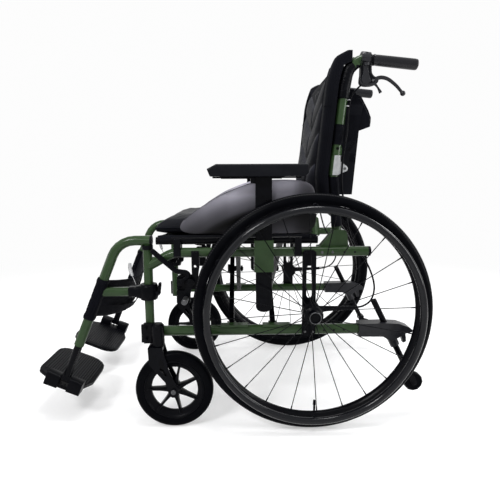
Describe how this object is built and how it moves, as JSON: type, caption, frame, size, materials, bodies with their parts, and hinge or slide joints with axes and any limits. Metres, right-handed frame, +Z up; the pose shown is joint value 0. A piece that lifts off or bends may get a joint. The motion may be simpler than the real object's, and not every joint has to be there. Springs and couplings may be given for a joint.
{
  "type": "wheelchair",
  "caption": "Folding manual wheelchair with cross-brace, swing-away footrests, lift-up armrests with skirt guards, hand-lever drum brakes and rear anti-tippers.",
  "frame": {"origin": "centre of the chair on the floor", "axes": "+Z up, the chair faces -X, its left side is at -Y"},
  "size_m": [1.0316, 0.6704, 0.948],
  "materials": {
    "frame_green": "satin olive-green powder coat",
    "black_metal": "satin black powder coat",
    "black_plastic": "fine-grained moulded black plastic",
    "tyre_rubber": "black rubber",
    "gloss_black": "gloss black coated ring",
    "silver_cast": "cast aluminium",
    "black_fabric": "woven black fabric",
    "pad_charcoal": "charcoal padded fabric",
    "guard_grey": "satin grey plastic",
    "grip_rubber": "soft black rubber"
  },
  "bodies": {
    "left_frame": {"left_side_frame": "frame_green", "left_axle_plate": "black_metal", "left_caster_housing": "black_metal", "left_back_bracket": "silver_cast", "left_lock_bracket": "black_metal", "left_tipping_step": "black_plastic", "left_brake_cable": "black_plastic", "seat_sling": "black_fabric", "seat_cushion": "black_fabric", "back_rest": "pad_charcoal"},
    "brace_a": {"brace_a": "black_metal"},
    "brace_b": {"brace_b": "black_metal"},
    "right_frame": {"right_side_frame": "frame_green", "right_axle_plate": "black_metal", "right_caster_housing": "black_metal", "right_back_bracket": "silver_cast", "right_lock_bracket": "black_metal", "right_tipping_step": "black_plastic", "right_brake_cable": "black_plastic"},
    "left_rear_wheel": {"left_rear_wheel": "black_metal", "left_rear_tyre": "tyre_rubber", "left_handrim": "gloss_black"},
    "left_caster_fork": {"left_caster_fork": "black_metal"},
    "left_caster_wheel": {"left_caster_wheel": "black_plastic"},
    "left_hanger": {"left_hanger": "frame_green", "calf_strap": "black_fabric"},
    "left_hanger_release": {"left_hanger_release": "black_plastic"},
    "left_footrest": {"left_footrest_tube": "black_metal"},
    "left_footplate": {"left_footplate": "black_plastic"},
    "left_armrest": {"left_arm_post": "black_metal", "left_arm_pad": "black_plastic", "left_skirt_guard": "guard_grey"},
    "left_lock_lever": {"left_lock_lever": "black_plastic"},
    "left_lock_shoe": {"left_lock_shoe": "silver_cast"},
    "left_upper_back": {"left_upper_cane": "frame_green", "left_push_grip": "grip_rubber"},
    "left_back_release": {"left_back_release": "black_plastic"},
    "left_brake_lever": {"left_brake_lever": "black_metal"},
    "left_tip_arm": {"left_tip_arm": "black_metal"},
    "left_tip_wheel": {"left_tip_wheel": "tyre_rubber"},
    "right_rear_wheel": {"right_rear_wheel": "black_metal", "right_rear_tyre": "tyre_rubber", "right_handrim": "gloss_black"},
    "right_caster_fork": {"right_caster_fork": "black_metal"},
    "right_caster_wheel": {"right_caster_wheel": "black_plastic"},
    "right_hanger": {"right_hanger": "frame_green"},
    "right_hanger_release": {"right_hanger_release": "black_plastic"},
    "right_footrest": {"right_footrest_tube": "black_metal"},
    "right_footplate": {"right_footplate": "black_plastic"},
    "right_armrest": {"right_arm_post": "black_metal", "right_arm_pad": "black_plastic", "right_skirt_guard": "guard_grey"},
    "right_lock_lever": {"right_lock_lever": "black_plastic"},
    "right_lock_shoe": {"right_lock_shoe": "silver_cast"},
    "right_upper_back": {"right_upper_cane": "frame_green", "right_push_grip": "grip_rubber"},
    "right_back_release": {"right_back_release": "black_plastic"},
    "right_brake_lever": {"right_brake_lever": "black_metal"},
    "right_tip_arm": {"right_tip_arm": "black_metal"},
    "right_tip_wheel": {"right_tip_wheel": "tyre_rubber"}
  },
  "joints": [
    {"name": "frame_fold", "type": "hinge", "parent": "left_frame", "child": "brace_a", "pos_m": [0.21099, -0.2065, 0.249], "axis": [1, 0, 0], "range_deg": [0, 49.68], "deforming": ["seat_sling", "seat_cushion", "back_rest", "calf_strap"]},
    {"name": "brace_cross", "type": "hinge", "parent": "brace_a", "child": "brace_b", "pos_m": [0.21099, 0, 0.36027], "axis": [1, 0, 0], "range_deg": [-99.38, 0]},
    {"name": "right_frame_fold", "type": "hinge", "parent": "brace_b", "child": "right_frame", "pos_m": [0.21099, 0.2065, 0.249], "axis": [1, 0, 0], "range_deg": [0, 49.69]},
    {"name": "left_rear_wheel_spin", "type": "hinge", "parent": "left_frame", "child": "left_rear_wheel", "pos_m": [0.21099, -0.288, 0.3], "axis": [0, 1, 0], "continuous": true},
    {"name": "left_caster_swivel", "type": "hinge", "parent": "left_frame", "child": "left_caster_fork", "pos_m": [-0.18002, -0.264, 0.2152], "axis": [0, 0, 1], "continuous": true},
    {"name": "left_caster_spin", "type": "hinge", "parent": "left_caster_fork", "child": "left_caster_wheel", "pos_m": [-0.14102, -0.264, 0.1], "axis": [0, 1, 0], "continuous": true},
    {"name": "left_hanger_swing", "type": "hinge", "parent": "left_frame", "child": "left_hanger", "pos_m": [-0.20502, -0.2325, 0.481], "axis": [0, 0, 1], "range_deg": [0, 90], "deforming": ["calf_strap"]},
    {"name": "left_hanger_release_press", "type": "hinge", "parent": "left_hanger", "child": "left_hanger_release", "pos_m": [-0.17852, -0.2385, 0.345], "axis": [0, 1, 0], "range_deg": [0, 15], "stiffness_Nm_per_rad": 0.08},
    {"name": "left_footrest_height", "type": "slide", "parent": "left_hanger", "child": "left_footrest", "axis": [-0.3851, 0, -0.9229], "range_m": [-0.06, 0.04]},
    {"name": "left_footplate_flip", "type": "hinge", "parent": "left_footrest", "child": "left_footplate", "pos_m": [-0.42899, -0.2375, 0.1184], "axis": [0.9229, 0, -0.3851], "range_deg": [0, 88.01]},
    {"name": "left_armrest_height", "type": "slide", "parent": "left_frame", "child": "left_armrest", "axis": [0, 0, 1], "range_m": [0, 0.07]},
    {"name": "left_wheel_lock_push", "type": "hinge", "parent": "left_frame", "child": "left_lock_lever", "pos_m": [-0.12001, -0.2525, 0.377], "axis": [0, -1, 0], "range_deg": [0, 38]},
    {"name": "left_wheel_lock_shoe_turn", "type": "hinge", "parent": "left_frame", "child": "left_lock_shoe", "pos_m": [-0.09501, -0.2625, 0.377], "axis": [0, -1, 0], "range_deg": [0, 15.21]},
    {"name": "left_back_release_press", "type": "hinge", "parent": "left_upper_back", "child": "left_back_release", "pos_m": [0.30849, -0.195, 0.7], "axis": [0, 1, 0], "range_deg": [0, 25], "stiffness_Nm_per_rad": 0.08},
    {"name": "left_brake_squeeze", "type": "hinge", "parent": "left_upper_back", "child": "left_brake_lever", "pos_m": [0.36729, -0.195, 0.8776], "axis": [0, -1, 0], "range_deg": [0, 22], "stiffness_Nm_per_rad": 1.2, "springref_deg": -11.46},
    {"name": "left_anti_tip_height", "type": "slide", "parent": "left_frame", "child": "left_tip_arm", "axis": [0.4498, 0, -0.8931], "range_m": [-0.035, 0.035]},
    {"name": "left_anti_tip_wheel_spin", "type": "hinge", "parent": "left_tip_arm", "child": "left_tip_wheel", "pos_m": [0.49029, -0.2325, 0.0953], "axis": [0, 1, 0], "continuous": true},
    {"name": "right_rear_wheel_spin", "type": "hinge", "parent": "right_frame", "child": "right_rear_wheel", "pos_m": [0.21099, 0.288, 0.3], "axis": [0, 1, 0], "continuous": true},
    {"name": "right_caster_swivel", "type": "hinge", "parent": "right_frame", "child": "right_caster_fork", "pos_m": [-0.18002, 0.264, 0.2152], "axis": [0, 0, 1], "continuous": true},
    {"name": "right_caster_spin", "type": "hinge", "parent": "right_caster_fork", "child": "right_caster_wheel", "pos_m": [-0.14102, 0.264, 0.1], "axis": [0, 1, 0], "continuous": true},
    {"name": "right_hanger_swing", "type": "hinge", "parent": "right_frame", "child": "right_hanger", "pos_m": [-0.20502, 0.2325, 0.481], "axis": [0, 0, -1], "range_deg": [0, 90], "deforming": ["calf_strap"]},
    {"name": "right_hanger_release_press", "type": "hinge", "parent": "right_hanger", "child": "right_hanger_release", "pos_m": [-0.17852, 0.2385, 0.345], "axis": [0, 1, 0], "range_deg": [0, 15], "stiffness_Nm_per_rad": 0.08},
    {"name": "right_footrest_height", "type": "slide", "parent": "right_hanger", "child": "right_footrest", "axis": [-0.3851, 0, -0.9229], "range_m": [-0.06, 0.04]},
    {"name": "right_footplate_flip", "type": "hinge", "parent": "right_footrest", "child": "right_footplate", "pos_m": [-0.42899, 0.2375, 0.1184], "axis": [-0.9229, 0, 0.3851], "range_deg": [0, 88.01]},
    {"name": "right_armrest_height", "type": "slide", "parent": "right_frame", "child": "right_armrest", "axis": [0, 0, 1], "range_m": [0, 0.07]},
    {"name": "right_wheel_lock_push", "type": "hinge", "parent": "right_frame", "child": "right_lock_lever", "pos_m": [-0.12001, 0.2525, 0.377], "axis": [0, -1, 0], "range_deg": [0, 38]},
    {"name": "right_wheel_lock_shoe_turn", "type": "hinge", "parent": "right_frame", "child": "right_lock_shoe", "pos_m": [-0.09501, 0.2625, 0.377], "axis": [0, -1, 0], "range_deg": [0, 15.21]},
    {"name": "right_back_release_press", "type": "hinge", "parent": "right_upper_back", "child": "right_back_release", "pos_m": [0.30849, 0.195, 0.7], "axis": [0, 1, 0], "range_deg": [0, 25], "stiffness_Nm_per_rad": 0.08},
    {"name": "right_brake_squeeze", "type": "hinge", "parent": "right_upper_back", "child": "right_brake_lever", "pos_m": [0.36729, 0.195, 0.8776], "axis": [0, -1, 0], "range_deg": [0, 22], "stiffness_Nm_per_rad": 1.2, "springref_deg": -11.46},
    {"name": "right_anti_tip_height", "type": "slide", "parent": "right_frame", "child": "right_tip_arm", "axis": [0.4498, 0, -0.8931], "range_m": [-0.035, 0.035]},
    {"name": "right_anti_tip_wheel_spin", "type": "hinge", "parent": "right_tip_arm", "child": "right_tip_wheel", "pos_m": [0.49029, 0.2325, 0.0953], "axis": [0, 1, 0], "continuous": true},
    {"name": "back_fold", "type": "hinge", "parent": "left_frame", "child": "left_upper_back", "pos_m": [0.30029, -0.195, 0.6589], "axis": [0, 1, 0], "range_deg": [0, 95], "deforming": ["back_rest", "left_brake_cable", "right_brake_cable"]},
    {"name": "right_back_fold", "type": "hinge", "parent": "right_frame", "child": "right_upper_back", "pos_m": [0.30029, 0.195, 0.6589], "axis": [0, 1, 0], "range_deg": [0, 95.01]}
  ],
  "couplings": [
    {"joint": "brace_cross", "follows": "frame_fold", "ratio": -2},
    {"joint": "right_frame_fold", "follows": "frame_fold", "ratio": 1},
    {"joint": "left_footplate_flip", "follows": "frame_fold", "ratio": 1.7712},
    {"joint": "left_wheel_lock_shoe_turn", "follows": "left_wheel_lock_push", "ratio": 0.4},
    {"joint": "right_footplate_flip", "follows": "frame_fold", "ratio": 1.7712},
    {"joint": "right_wheel_lock_shoe_turn", "follows": "right_wheel_lock_push", "ratio": 0.4},
    {"joint": "right_back_fold", "follows": "back_fold", "ratio": 1}
  ]
}
